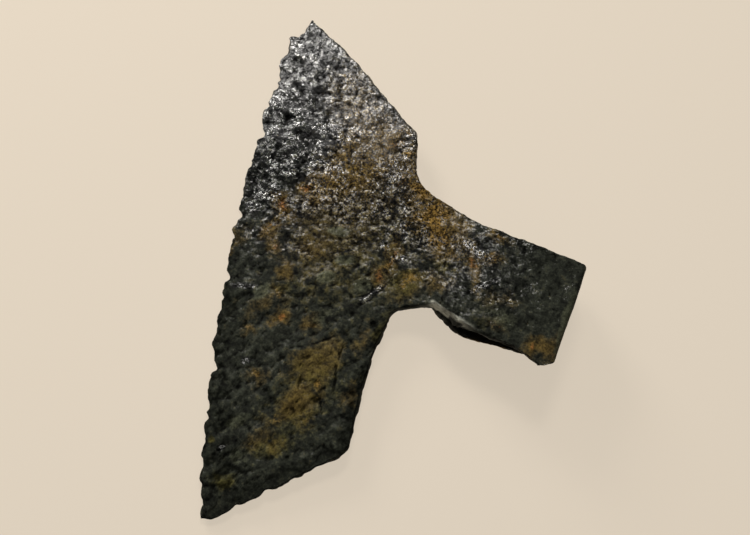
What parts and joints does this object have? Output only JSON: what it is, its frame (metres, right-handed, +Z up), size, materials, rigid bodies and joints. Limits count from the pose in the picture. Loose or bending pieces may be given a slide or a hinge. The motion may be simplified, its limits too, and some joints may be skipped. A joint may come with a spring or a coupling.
{
  "type": "bearded axe head",
  "caption": "T-shaped bearded broad axe head of corroded forged iron, with a long ragged cutting edge, a deep beard and a tapered eye for a haft, lying on its side",
  "frame": {"origin": "on the level surface the head lies on, under the middle of its overall box", "axes": "+X points towards the poll, away from the cutting edge; +Y points along the cutting edge from the beard's tip to the upper corner, and down through the eye; +Z points up, out of the cheek that the picture shows"},
  "size_m": [0.1598, 0.23, 0.0331],
  "materials": {
    "corroded_iron": "near-black forged iron, pitted and flaked, waxed semi-gloss on the upper blade and matt below, with patches of ochre, orange and olive-brown rust"
  },
  "bodies": {
    "root": {"axe_head": "corroded_iron"}
  },
  "joints": []
}
